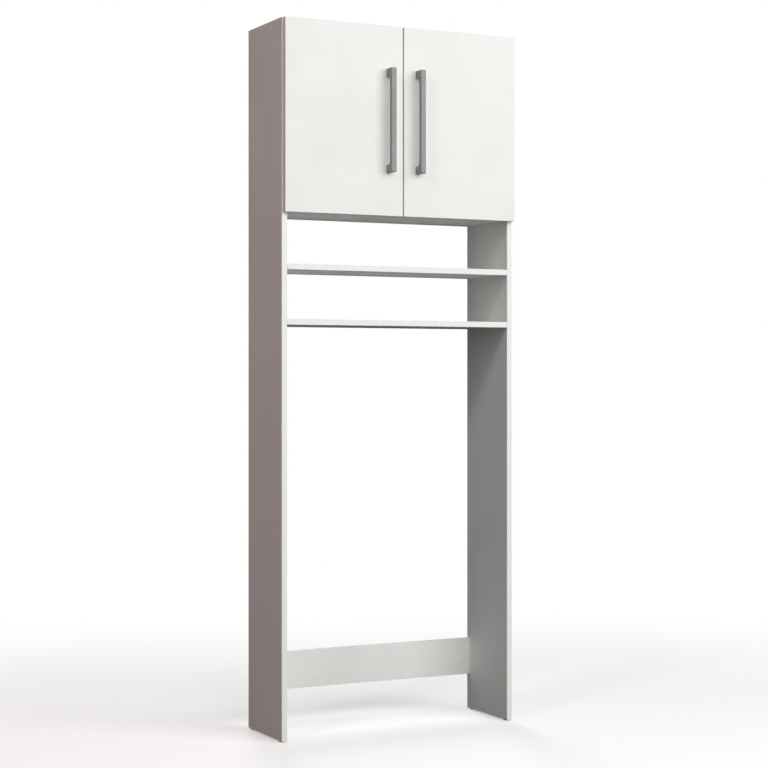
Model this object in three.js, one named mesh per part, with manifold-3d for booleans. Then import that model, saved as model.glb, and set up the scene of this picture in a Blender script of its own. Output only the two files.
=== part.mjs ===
// A tall, narrow cabinet that stands over a free-standing appliance. Two doors close its top, two open
// shelves lie below them, and the lowest bay is open from front to back. Lengths are in millimetres:
// X runs to the right, Y runs from the front to the wall and Z runs up from the floor.
import * as THREE from 'three';
import { RoundedBoxGeometry } from 'three/addons/geometries/RoundedBoxGeometry.js';
import { mergeVertices } from 'three/addons/utils/BufferGeometryUtils.js';
import Module from 'manifold-3d';

const wasm = await Module();
wasm.setup();

// Overall sizes and the board
const HEIGHT = 1850;
const WIDTH = 680;
const DEPTH = 220;
const BOARD = 15;
const BAND_RADIUS = 0.6;
const FIT = 0.3;
const OVERRUN = 1;

// Feet, and the heights of the bays from the doors down
const GLIDE_HEIGHT = 3;
const GLIDE_RADIUS = 6.5;
const GLIDE_INSET = 18;
const DOOR_HEIGHT = 495.5;
const DOOR_TOP_REVEAL = 1.5;
const DOOR_OVERHANG = 1.5;
const UPPER_BAY = 132;
const LOWER_BAY = 126.5;
const RAIL_HEIGHT = 100;
const RAIL_RISE = 100;

// Doors: reveal beside the panel's outer face, air behind the door and the gap where they meet
const DOOR_SIDE_REVEAL = 2.5;
const DOOR_AIR = 2.5;
const DOOR_MEETING_GAP = 4;

// Back board in its grooves
const BACK_BOARD = 3;
const BACK_INSET = 10;
const GROOVE_DEPTH = 7;

// Loose shelf inside the closed part, and its pins
const SHELF_SETBACK = 8;
const SHELF_BACK_AIR = 2;
const SHELF_END_AIR = 2;
const PIN_RADIUS = 2.5;
const PIN_IN_PANEL = 9;
const PIN_IN_SHELF = 9;
const PIN_COLLAR_RADIUS = 4.2;
const PIN_COLLAR = 1.2;
const PIN_INSET = 40;
const PIN_SPARE_STEP = 32;
const PIN_SPARE_ROWS = 1;

// Cam fittings in the fixed boards: a drum in the board, a bolt in the panel
const CAM_RADIUS = 7.4;
const CAM_HEIGHT = 12;
const CAM_FROM_END = 34;
const CAM_INSET = 45;
const CAM_SLOT_WIDTH = 1.6;
const CAM_SLOT_LENGTH = 10;
const CAM_SLOT_DEPTH = 1.5;
const BOLT_RADIUS = 3;
const BOLT_IN_PANEL = 10.5;

// Bar handles
const HANDLE_LENGTH = 271;
const HANDLE_REACH = 32;
const HANDLE_WIDTH = 14;
const HANDLE_BAR = 12.5;
const HANDLE_POST = 19.5;
const HANDLE_FILLET_ALONG = 22;
const HANDLE_FILLET_OUT = 7;
const HANDLE_CORNER = 2.5;
const HANDLE_BEVEL = 1;
const HANDLE_FROM_MIDDLE = 43;
const HANDLE_HOLE_FROM_END = 7.5;
const SCREW_RADIUS = 2;
const SCREW_IN_HANDLE = 10;
const SCREW_HEAD_RADIUS = 4;
const SCREW_HEAD = 2.4;
const SCREW_RECESS = 4;
const SCREW_RECESS_WIDTH = 1;

// Concealed hinges. The plan of each is set out from the outer face of its side panel (in) and from the
// panel's front edge (back), for the closed door
const HINGE_FROM_DOOR_END = 90;
const CUP_RADIUS = 17.5;
const CUP_WALL = 1.1;
const CUP_BASE = 0.7;
const CUP_CAVITY = 10.8;
const CUP_FROM_EDGE = 4.7;
const CUP_FLANGE = 0.8;
const CUP_FLANGE_LIP = 1.7;
const EAR_HOLE_SPACING = 45;
const EAR_OFFSET = 9.5;
const EAR_RADIUS = 5;
const EAR_HOLE_RADIUS = 1.8;
const OUTER_ARM_PIVOT = { in: 29.8, back: 9.7 };
const OUTER_CUP_PIVOT = { in: 11.8, back: -5 };
const INNER_ARM_PIVOT = { in: 32.9, back: -3.9 };
const INNER_CUP_END = { in: 13.9, back: -10.6 };
const OUTER_LINK_BENDS = [{ in: 13.4, back: -8 }, { in: 18.5, back: -8.2 }, { in: 22, back: -2.8 }];
const INNER_LINK_BENDS = [{ in: 17, back: -10 }, { in: 27.5, back: -10.2 }];
const PIVOT_RADIUS = 1;
const PIVOT_CLEARANCE = 0.35;
const EYE_WALL = 0.75;
const LINK_STEEL = 1.6;
const ROLLED_END_RADIUS = 1.8;
const INNER_LINK_HALF = 4;
const LAYER_AIR = 0.5;
const LINK_CHEEK = 1.6;
const ARM_CHEEK = 1.6;
const ARM_TIP_RADIUS = 2.3;
const ARM_TOP = 32;
const ARM_WEB = 1.4;
const ARM_WEB_START = 22;
const ARM_END = 72;
const ARM_LIFT = 3.5;
const ARM_SLOPE_START = 9.7;
const ARM_SLOPE_END = 30;
const ARM_SLOPE_IN = 26;
const PLATE_STEEL = 1.6;
const PLATE_START = 24;
const PLATE_END = 66;
const PLATE_RIDGE_START = 34;
const PLATE_RIDGE_END = 62;
const PLATE_WING_BACK = 37;
const PLATE_WING = 10;
const PLATE_WING_REACH = 22;
const PLATE_HOLES = 32;
const PLATE_HOLE_RADIUS = 2.2;

// Wall brackets under the top
const BRACKET_LEG = 40;
const BRACKET_WIDTH = 20;
const BRACKET_STEEL = 2;
const BRACKET_HOLE_RADIUS = 2.5;
const BRACKET_HOLE_FROM_END = 12;
const BRACKET_FROM_SIDE = 110;

// Colours and finishes
const WHITE_BOARD = { color: 0xf2f1ef, roughness: 0.45, metalness: 0 };
const WHITE_HARDBOARD = { color: 0xe6e5e2, roughness: 0.6, metalness: 0 };
const SATIN_GREY = { color: 0x8f908e, roughness: 0.42, metalness: 0.85 };
const NICKEL_STEEL = { color: 0xb9bab8, roughness: 0.3, metalness: 0.95 };
const ZINC = { color: 0xa3a5a6, roughness: 0.5, metalness: 0.8 };
const GREY_PLASTIC = { color: 0xcfcfcc, roughness: 0.55, metalness: 0 };

// Sides that small round pieces and holes have
const ROUND_SIDES = 12;
const SMALL_SIDES = 8;
const CUP_SIDES = 24;
const BAND_STEPS = 1;
const HANDLE_CURVE_STEPS = 6;

// Places worked out from the sizes above
const HALF_WIDTH = WIDTH / 2;
const INNER_HALF = HALF_WIDTH - BOARD;
const DOOR_TOP = HEIGHT - DOOR_TOP_REVEAL;
const DOOR_BOTTOM = DOOR_TOP - DOOR_HEIGHT;
const DOOR_MIDDLE = (DOOR_TOP + DOOR_BOTTOM) / 2;
const DOOR_BACK = -DOOR_AIR;
const DOOR_FRONT = DOOR_BACK - BOARD;
const HANDLE_FRONT = DOOR_FRONT - HANDLE_REACH;
const TOP_UNDERSIDE = HEIGHT - BOARD;
const FLOOR_UNDERSIDE = DOOR_BOTTOM + DOOR_OVERHANG;
const FLOOR_TOP = FLOOR_UNDERSIDE + BOARD;
const UPPER_SHELF_UNDERSIDE = FLOOR_UNDERSIDE - UPPER_BAY - BOARD;
const LOWER_SHELF_UNDERSIDE = UPPER_SHELF_UNDERSIDE - LOWER_BAY - BOARD;
const BACK_REAR = DEPTH - BACK_INSET;
const BACK_FRONT = BACK_REAR - BACK_BOARD;
const INNER_SHELF_UNDERSIDE = (FLOOR_TOP + TOP_UNDERSIDE - BOARD) / 2;
const PIN_HEIGHT = INNER_SHELF_UNDERSIDE - FIT - PIN_RADIUS;
const INNER_SHELF_REAR = BACK_FRONT - SHELF_BACK_AIR;
const CAM_DEPTHS = [CAM_INSET, DEPTH - CAM_INSET];
const PIN_DEPTHS = [PIN_INSET, INNER_SHELF_REAR - PIN_INSET];
const CUP_IN = DOOR_SIDE_REVEAL + CUP_FROM_EDGE + CUP_RADIUS;
const CUP_FLOOR = DOOR_BACK - CUP_CAVITY;
const HINGE_HEIGHTS = [DOOR_BOTTOM + HINGE_FROM_DOOR_END, DOOR_TOP - HINGE_FROM_DOOR_END];
const HANDLE_HOLES = HANDLE_LENGTH - 2 * HANDLE_HOLE_FROM_END;
const HANDLE_HOLE_HEIGHTS = [DOOR_MIDDLE - HANDLE_HOLES / 2, DOOR_MIDDLE + HANDLE_HOLES / 2];
const ARM_CHEEK_START = INNER_LINK_HALF + LAYER_AIR + LINK_CHEEK + LAYER_AIR;
const ARM_HALF = ARM_CHEEK_START + ARM_CHEEK;
const STUB_START = INNER_LINK_HALF + LAYER_AIR / 2;
const STUB_CHORD = CUP_IN - OUTER_CUP_PIVOT.in;
const STUB_END = Math.sqrt((CUP_RADIUS - CUP_WALL / 2) ** 2 - STUB_CHORD ** 2);
const SIDES = { left: -1, right: 1 };

const cabinet = new THREE.Group();
cabinet.name = 'over_appliance_cabinet';
// The origin is under the middle of the whole outline, handles included
cabinet.position.y = -(DEPTH + HANDLE_FRONT) / 2;

// Closed geometry to solid, and back
function solid(geometry) {
  geometry.deleteAttribute('normal');
  geometry.deleteAttribute('uv');
  const merged = mergeVertices(geometry);
  return new wasm.Manifold(new wasm.Mesh({
    numProp: 3,
    vertProperties: new Float32Array(merged.attributes.position.array),
    triVerts: new Uint32Array(merged.index.array),
  }));
}

function addPiece(name, body, finish) {
  const { vertProperties, triVerts } = body.getMesh();
  const geometry = new THREE.BufferGeometry();
  geometry.setAttribute('position', new THREE.BufferAttribute(vertProperties, 3));
  geometry.setIndex(new THREE.BufferAttribute(triVerts, 1));
  geometry.computeVertexNormals();
  const material = new THREE.MeshStandardMaterial({ ...finish, flatShading: true });
  const mesh = new THREE.Mesh(geometry, material);
  mesh.name = name;
  cabinet.add(mesh);
}

// Basic forms between named limits
function block([x0, x1], [y0, y1], [z0, z1]) {
  const box = new THREE.BoxGeometry(x1 - x0, y1 - y0, z1 - z0);
  return solid(box.translate((x0 + x1) / 2, (y0 + y1) / 2, (z0 + z1) / 2));
}

function board([x0, x1], [y0, y1], [z0, z1]) {
  const box = new RoundedBoxGeometry(x1 - x0, y1 - y0, z1 - z0, BAND_STEPS, BAND_RADIUS);
  return solid(box.translate((x0 + x1) / 2, (y0 + y1) / 2, (z0 + z1) / 2));
}

function rod(radius, from, to, sides = SMALL_SIDES) {
  const start = new THREE.Vector3(...from);
  const end = new THREE.Vector3(...to);
  const along = end.clone().sub(start);
  const cylinder = new THREE.CylinderGeometry(radius, radius, along.length(), sides);
  const turn = new THREE.Quaternion().setFromUnitVectors(new THREE.Vector3(0, 1, 0), along.normalize());
  cylinder.applyQuaternion(turn);
  const middle = start.add(end).multiplyScalar(1 / 2);
  return solid(cylinder.translate(middle.x, middle.y, middle.z));
}

// An outline in X and Y, raised from z0 to z1
function prism(outline, [z0, z1]) {
  const shape = new THREE.Shape(outline.map(([x, y]) => new THREE.Vector2(x, y)));
  const raised = new THREE.ExtrudeGeometry(shape, { depth: z1 - z0, bevelEnabled: false });
  return solid(raised.translate(0, 0, z0));
}

function joined(parts) {
  return parts.reduce((whole, part) => whole.add(part));
}

function span(from, to) {
  return from < to ? [from, to] : [to, from];
}

// Side panels, each with a groove for the back board, holes for the bolts and rows of pin holes
function sidePanel(side) {
  const inner = side * INNER_HALF;
  let panel = board(span(side * HALF_WIDTH, inner), [0, DEPTH], [GLIDE_HEIGHT + FIT, HEIGHT]);
  const grooveX = span(inner + side * GROOVE_DEPTH, inner - side * OVERRUN);
  const grooveZ = [FLOOR_TOP - GROOVE_DEPTH, TOP_UNDERSIDE + GROOVE_DEPTH];
  panel = panel.subtract(block(grooveX, [BACK_FRONT - FIT, BACK_REAR + FIT], grooveZ));
  const open = inner - side * OVERRUN;
  for (const underside of [FLOOR_UNDERSIDE, UPPER_SHELF_UNDERSIDE, LOWER_SHELF_UNDERSIDE]) {
    for (const y of CAM_DEPTHS) {
      const z = underside + BOARD / 2;
      const end = inner + side * (BOLT_IN_PANEL + FIT);
      panel = panel.subtract(rod(BOLT_RADIUS + FIT, [end, y, z], [open, y, z]));
    }
  }
  for (let row = -PIN_SPARE_ROWS; row <= PIN_SPARE_ROWS; row += 1) {
    for (const y of PIN_DEPTHS) {
      const z = PIN_HEIGHT + row * PIN_SPARE_STEP;
      const end = inner + side * (PIN_IN_PANEL + FIT);
      panel = panel.subtract(rod(PIN_RADIUS + FIT, [end, y, z], [open, y, z]));
    }
  }
  return panel;
}

// Fixed boards between the panels, grooved for the back board on the side that faces the closed part,
// with a drum hole and a bolt hole near each end where they are bolted
function fixedBoard(underside, { bolted, groove }) {
  const end = INNER_HALF - FIT;
  const top = underside + BOARD;
  let fixed = board([-end, end], [0, DEPTH], [underside, top]);
  if (groove) {
    const above = [top - GROOVE_DEPTH, top + OVERRUN];
    const below = [underside - OVERRUN, underside + GROOVE_DEPTH];
    const grooveX = [-end - OVERRUN, end + OVERRUN];
    const grooveY = [BACK_FRONT - FIT, BACK_REAR + FIT];
    fixed = fixed.subtract(block(grooveX, grooveY, groove === 'above' ? above : below));
  }
  if (!bolted) return fixed;
  for (const side of Object.values(SIDES)) {
    for (const y of CAM_DEPTHS) {
      const x = side * (INNER_HALF - CAM_FROM_END);
      const z = underside + BOARD / 2;
      const roof = underside + CAM_HEIGHT + 2 * FIT;
      fixed = fixed.subtract(rod(CAM_RADIUS + FIT, [x, y, underside - OVERRUN], [x, y, roof], ROUND_SIDES));
      fixed = fixed.subtract(rod(BOLT_RADIUS + FIT, [x, y, z], [side * (end + OVERRUN), y, z]));
    }
  }
  return fixed;
}

function camFitting(side, y, underside) {
  const x = side * (INNER_HALF - CAM_FROM_END);
  const z = underside + BOARD / 2;
  const bottom = underside + FIT;
  const drum = rod(CAM_RADIUS, [x, y, bottom], [x, y, bottom + CAM_HEIGHT], ROUND_SIDES);
  const bolt = rod(BOLT_RADIUS, [x, y, z], [side * (INNER_HALF + BOLT_IN_PANEL), y, z]);
  const long = CAM_SLOT_LENGTH / 2;
  const wide = CAM_SLOT_WIDTH / 2;
  const slotZ = [bottom - OVERRUN, bottom + CAM_SLOT_DEPTH];
  const slot = block([x - long, x + long], [y - wide, y + wide], slotZ);
  const cross = block([x - wide, x + wide], [y - long, y + long], slotZ);
  return drum.subtract(slot).subtract(cross).add(bolt);
}

function shelfPin(side, y) {
  const profile = [
    [0, -PIN_IN_PANEL],
    [PIN_RADIUS, -PIN_IN_PANEL],
    [PIN_RADIUS, FIT],
    [PIN_COLLAR_RADIUS, FIT],
    [PIN_COLLAR_RADIUS, FIT + PIN_COLLAR],
    [PIN_RADIUS, FIT + PIN_COLLAR],
    [PIN_RADIUS, PIN_IN_SHELF],
    [0, PIN_IN_SHELF],
  ].map(([radius, along]) => new THREE.Vector2(radius, along));
  const pin = new THREE.LatheGeometry(profile, SMALL_SIDES);
  const inward = new THREE.Vector3(-side, 0, 0);
  pin.applyQuaternion(new THREE.Quaternion().setFromUnitVectors(new THREE.Vector3(0, 1, 0), inward));
  return solid(pin.translate(side * INNER_HALF, y, PIN_HEIGHT));
}

function footGlide(side, y) {
  const x = side * (HALF_WIDTH - BOARD / 2);
  const profile = [
    [0, 0],
    [GLIDE_RADIUS - BAND_RADIUS, 0],
    [GLIDE_RADIUS, BAND_RADIUS],
    [GLIDE_RADIUS, GLIDE_HEIGHT],
    [0, GLIDE_HEIGHT],
  ].map(([radius, along]) => new THREE.Vector2(radius, along));
  const glide = new THREE.LatheGeometry(profile, ROUND_SIDES).rotateX(Math.PI / 2);
  return solid(glide.translate(x, y, 0));
}

function wallBracket(side) {
  const rear = BACK_FRONT - FIT;
  const top = TOP_UNDERSIDE - FIT;
  const outline = [
    [rear, top],
    [rear, top - BRACKET_LEG],
    [rear - BRACKET_STEEL, top - BRACKET_LEG],
    [rear - BRACKET_STEEL, top - BRACKET_STEEL],
    [rear - BRACKET_LEG, top - BRACKET_STEEL],
    [rear - BRACKET_LEG, top],
  ];
  const x = side * (INNER_HALF - BRACKET_FROM_SIDE);
  const flat = prism(outline, [x - BRACKET_WIDTH / 2, x + BRACKET_WIDTH / 2]);
  // The outline was drawn in Y and Z, so its axes are moved round by one
  const angle = flat.transform([0, 1, 0, 0, 0, 0, 1, 0, 1, 0, 0, 0, 0, 0, 0, 1]);
  const wallHoleZ = top - BRACKET_LEG + BRACKET_HOLE_FROM_END;
  const boardHoleY = rear - BRACKET_LEG + BRACKET_HOLE_FROM_END;
  const wallHole = rod(BRACKET_HOLE_RADIUS, [x, rear - BRACKET_STEEL - OVERRUN, wallHoleZ],
    [x, rear + OVERRUN, wallHoleZ]);
  const boardHole = rod(BRACKET_HOLE_RADIUS, [x, boardHoleY, top - BRACKET_STEEL - OVERRUN],
    [x, boardHoleY, top + OVERRUN]);
  return angle.subtract(wallHole).subtract(boardHole);
}

// Doors, bored for the hinge cups and the handle screws
function door(side) {
  const outerEdge = side * (HALF_WIDTH - DOOR_SIDE_REVEAL);
  const meetingEdge = side * (DOOR_MEETING_GAP / 2);
  let leaf = board(span(outerEdge, meetingEdge), [DOOR_FRONT, DOOR_BACK], [DOOR_BOTTOM, DOOR_TOP]);
  for (const z of HINGE_HEIGHTS) {
    const x = planX(side, CUP_IN);
    const bottom = CUP_FLOOR - CUP_BASE - FIT;
    leaf = leaf.subtract(rod(CUP_RADIUS + FIT, [x, bottom, z], [x, DOOR_BACK + OVERRUN, z], CUP_SIDES));
  }
  for (const z of HANDLE_HOLE_HEIGHTS) {
    const x = side * HANDLE_FROM_MIDDLE;
    leaf = leaf.subtract(rod(SCREW_RADIUS + FIT, [x, DOOR_FRONT - OVERRUN, z], [x, DOOR_BACK + OVERRUN, z]));
  }
  return leaf;
}

// A flat bar on two posts: its side view is drawn along the bar and out from the door
function handle(side) {
  const half = HANDLE_LENGTH / 2 - HANDLE_BEVEL;
  const reach = HANDLE_REACH - HANDLE_BEVEL;
  const foot = FIT + HANDLE_BEVEL;
  const postInner = HANDLE_LENGTH / 2 - HANDLE_POST + HANDLE_BEVEL;
  const barBack = HANDLE_REACH - HANDLE_BAR + HANDLE_BEVEL;
  const corner = HANDLE_CORNER - HANDLE_BEVEL;
  const view = new THREE.Shape();
  view.moveTo(-half, foot);
  view.lineTo(-half, reach - corner);
  view.quadraticCurveTo(-half, reach, -half + corner, reach);
  view.lineTo(half - corner, reach);
  view.quadraticCurveTo(half, reach, half, reach - corner);
  view.lineTo(half, foot);
  view.lineTo(postInner, foot);
  view.lineTo(postInner, barBack - HANDLE_FILLET_OUT);
  view.quadraticCurveTo(postInner, barBack, postInner - HANDLE_FILLET_ALONG, barBack);
  view.lineTo(HANDLE_FILLET_ALONG - postInner, barBack);
  view.quadraticCurveTo(-postInner, barBack, -postInner, barBack - HANDLE_FILLET_OUT);
  view.lineTo(-postInner, foot);
  const raised = new THREE.ExtrudeGeometry(view, {
    depth: HANDLE_WIDTH - 2 * HANDLE_BEVEL,
    curveSegments: HANDLE_CURVE_STEPS,
    bevelSize: HANDLE_BEVEL,
    bevelThickness: HANDLE_BEVEL,
    bevelSegments: 1,
  });
  raised.translate(0, 0, HANDLE_BEVEL - HANDLE_WIDTH / 2);
  // Along the bar becomes Z, out from the door becomes -Y
  const upright = new THREE.Matrix4().makeBasis(
    new THREE.Vector3(0, 0, 1), new THREE.Vector3(0, -1, 0), new THREE.Vector3(1, 0, 0));
  raised.applyMatrix4(upright);
  const x = side * HANDLE_FROM_MIDDLE;
  let bar = solid(raised.translate(x, DOOR_FRONT, DOOR_MIDDLE));
  for (const z of HANDLE_HOLE_HEIGHTS) {
    const end = DOOR_FRONT - SCREW_IN_HANDLE - FIT;
    bar = bar.subtract(rod(SCREW_RADIUS + FIT, [x, end, z], [x, DOOR_FRONT + OVERRUN, z]));
  }
  return bar;
}

function handleScrew(side, z) {
  const x = side * HANDLE_FROM_MIDDLE;
  const headStart = DOOR_BACK + FIT;
  const headEnd = headStart + SCREW_HEAD;
  const shank = rod(SCREW_RADIUS, [x, DOOR_FRONT - SCREW_IN_HANDLE, z], [x, headEnd, z]);
  const head = rod(SCREW_HEAD_RADIUS, [x, headStart, z], [x, headEnd, z], ROUND_SIDES);
  const wide = SCREW_RECESS_WIDTH / 2;
  const long = SCREW_RECESS / 2;
  const depthY = [headEnd - SCREW_HEAD / 2, headEnd + OVERRUN];
  const slot = block([x - long, x + long], depthY, [z - wide, z + wide]);
  const cross = block([x - wide, x + wide], depthY, [z - long, z + long]);
  return shank.add(head).subtract(slot).subtract(cross);
}

// Hinge plan to the cabinet's X and Y, and pieces raised between two heights of that plan
function planX(side, inward) {
  return side * (HALF_WIDTH - inward);
}

function planPoint(side, point) {
  return [planX(side, point.in), point.back];
}

function planDisc(side, point, radius, [z0, z1], sides = SMALL_SIDES) {
  const [x, y] = planPoint(side, point);
  return rod(radius, [x, y, z0], [x, y, z1], sides);
}

// A strip of even thickness along points of the plan, with mitred bends
function planStrip(side, points, thickness, layer) {
  const places = points.map((point) => new THREE.Vector2(...planPoint(side, point)));
  const across = places.slice(1).map((place, index) => {
    const along = place.clone().sub(places[index]).normalize();
    return new THREE.Vector2(-along.y, along.x);
  });
  const edge = (offset) => places.map((place, index) => {
    const before = across[Math.max(index - 1, 0)];
    const after = across[Math.min(index, across.length - 1)];
    const mitre = before.clone().add(after).divideScalar(1 + before.dot(after));
    return place.clone().addScaledVector(mitre, offset);
  });
  const outline = [...edge(thickness / 2), ...edge(-thickness / 2).reverse()];
  return prism(outline.map((corner) => [corner.x, corner.y]), layer);
}

function hingeCup(side, z) {
  const x = planX(side, CUP_IN);
  const flangeBack = DOOR_BACK + FIT + CUP_FLANGE;
  const flangeY = [DOOR_BACK + FIT, flangeBack];
  const earX = planX(side, CUP_IN + EAR_OFFSET);
  const ears = [-1, 1].map((end) => z + end * EAR_HOLE_SPACING / 2);
  const shell = joined([
    rod(CUP_RADIUS, [x, CUP_FLOOR - CUP_BASE, z], [x, flangeBack, z], CUP_SIDES),
    rod(CUP_RADIUS + CUP_FLANGE_LIP, [x, flangeY[0], z], [x, flangeY[1], z], CUP_SIDES),
    block([earX - EAR_RADIUS, earX + EAR_RADIUS], flangeY, ears),
    ...ears.map((earZ) => rod(EAR_RADIUS, [earX, flangeY[0], earZ], [earX, flangeY[1], earZ], ROUND_SIDES)),
  ]);
  const cavity = rod(CUP_RADIUS - CUP_WALL, [x, CUP_FLOOR, z], [x, flangeBack + OVERRUN, z], CUP_SIDES);
  const [pinX, pinY] = planPoint(side, OUTER_CUP_PIVOT);
  const stubs = [-1, 1].map((end) => rod(PIVOT_RADIUS, [pinX, pinY, z + end * STUB_START],
    [pinX, pinY, z + end * STUB_END]));
  const holes = ears.map((earZ) => rod(EAR_HOLE_RADIUS, [earX, flangeY[0] - OVERRUN, earZ],
    [earX, flangeY[1] + OVERRUN, earZ]));
  return joined([shell.subtract(cavity), ...stubs]).subtract(joined(holes));
}

function outerLink(side, z) {
  const path = [OUTER_CUP_PIVOT, ...OUTER_LINK_BENDS, OUTER_ARM_PIVOT];
  const near = INNER_LINK_HALF + LAYER_AIR;
  const far = near + LINK_CHEEK;
  const eye = PIVOT_RADIUS + PIVOT_CLEARANCE + EYE_WALL;
  const layers = [span(z - near, z - far), span(z + near, z + far)];
  const cheeks = layers.map((layer) => joined([
    planStrip(side, path, LINK_STEEL, layer),
    planDisc(side, OUTER_CUP_PIVOT, eye, layer),
  ]));
  const barrel = planDisc(side, OUTER_ARM_PIVOT, eye, [z - far, z + far]);
  const bore = PIVOT_RADIUS + PIVOT_CLEARANCE;
  const through = [z - far - OVERRUN, z + far + OVERRUN];
  return joined([...cheeks, barrel])
    .subtract(planDisc(side, OUTER_CUP_PIVOT, bore, through))
    .subtract(planDisc(side, OUTER_ARM_PIVOT, bore, through));
}

function innerLink(side, z) {
  const path = [INNER_CUP_END, ...INNER_LINK_BENDS, INNER_ARM_PIVOT];
  const layer = [z - INNER_LINK_HALF, z + INNER_LINK_HALF];
  const eye = PIVOT_RADIUS + PIVOT_CLEARANCE + EYE_WALL;
  const through = [z - INNER_LINK_HALF - OVERRUN, z + INNER_LINK_HALF + OVERRUN];
  return joined([
    planStrip(side, path, LINK_STEEL, layer),
    planDisc(side, INNER_CUP_END, ROLLED_END_RADIUS, layer),
    planDisc(side, INNER_ARM_PIVOT, eye, layer),
  ]).subtract(planDisc(side, INNER_ARM_PIVOT, PIVOT_RADIUS + PIVOT_CLEARANCE, through));
}

function hingeArm(side, z) {
  const outline = [
    { in: ARM_TOP, back: ARM_SLOPE_START },
    { in: ARM_TOP, back: ARM_END },
    { in: BOARD + ARM_LIFT, back: ARM_END },
    { in: BOARD + ARM_LIFT, back: ARM_SLOPE_END },
    { in: ARM_SLOPE_IN, back: ARM_SLOPE_START },
  ].map((point) => planPoint(side, point));
  const tip = [OUTER_ARM_PIVOT, INNER_ARM_PIVOT];
  const layers = [span(z - ARM_HALF, z - ARM_CHEEK_START), span(z + ARM_CHEEK_START, z + ARM_HALF)];
  const cheeks = layers.flatMap((layer) => [
    prism(outline, layer),
    planStrip(side, tip, 2 * ARM_TIP_RADIUS, layer),
    ...tip.map((pivot) => planDisc(side, pivot, ARM_TIP_RADIUS, layer)),
  ]);
  const webX = span(planX(side, ARM_TOP), planX(side, ARM_TOP - ARM_WEB));
  const web = block(webX, [ARM_WEB_START, ARM_END], [z - ARM_HALF, z + ARM_HALF]);
  const pins = tip.map((pivot) => planDisc(side, pivot, PIVOT_RADIUS, [z - ARM_HALF, z + ARM_HALF]));
  return joined([...cheeks, web, ...pins]);
}

function hingePlate(side, z) {
  const low = BOARD + FIT;
  const steel = span(planX(side, low), planX(side, low + PLATE_STEEL));
  const ridge = span(planX(side, low), planX(side, ARM_TOP - ARM_WEB - FIT));
  const wingY = [PLATE_WING_BACK - PLATE_WING / 2, PLATE_WING_BACK + PLATE_WING / 2];
  const ridgeHalf = ARM_CHEEK_START - FIT;
  const base = joined([
    block(steel, [PLATE_START, PLATE_END], [z - ARM_HALF, z + ARM_HALF]),
    block(steel, wingY, [z - PLATE_WING_REACH, z + PLATE_WING_REACH]),
    block(ridge, [PLATE_RIDGE_START, PLATE_RIDGE_END], [z - ridgeHalf, z + ridgeHalf]),
  ]);
  const holes = [-1, 1].map((end) => {
    const holeZ = z + end * PLATE_HOLES / 2;
    const from = [planX(side, BOARD - OVERRUN), PLATE_WING_BACK, holeZ];
    return rod(PLATE_HOLE_RADIUS, from, [planX(side, low + PLATE_STEEL + OVERRUN), PLATE_WING_BACK, holeZ]);
  });
  return base.subtract(joined(holes));
}

// The fixed carcass
addPiece('top_panel', fixedBoard(TOP_UNDERSIDE, { groove: 'below' }), WHITE_BOARD);
addPiece('cabinet_floor', fixedBoard(FLOOR_UNDERSIDE, { bolted: true, groove: 'above' }), WHITE_BOARD);
addPiece('upper_open_shelf', fixedBoard(UPPER_SHELF_UNDERSIDE, { bolted: true }), WHITE_BOARD);
addPiece('lower_open_shelf', fixedBoard(LOWER_SHELF_UNDERSIDE, { bolted: true }), WHITE_BOARD);
const shelfEnd = INNER_HALF - SHELF_END_AIR;
addPiece('inner_shelf', board([-shelfEnd, shelfEnd], [SHELF_SETBACK, INNER_SHELF_REAR],
  [INNER_SHELF_UNDERSIDE, INNER_SHELF_UNDERSIDE + BOARD]), WHITE_BOARD);
const backHalf = INNER_HALF + GROOVE_DEPTH - FIT;
addPiece('back_panel', block([-backHalf, backHalf], [BACK_FRONT, BACK_REAR],
  [FLOOR_TOP - GROOVE_DEPTH + FIT, TOP_UNDERSIDE + GROOVE_DEPTH - FIT]), WHITE_HARDBOARD);
const railHalf = INNER_HALF - FIT;
addPiece('rear_stretcher', board([-railHalf, railHalf], [DEPTH - BOARD, DEPTH],
  [RAIL_RISE, RAIL_RISE + RAIL_HEIGHT]), WHITE_BOARD);

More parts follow.
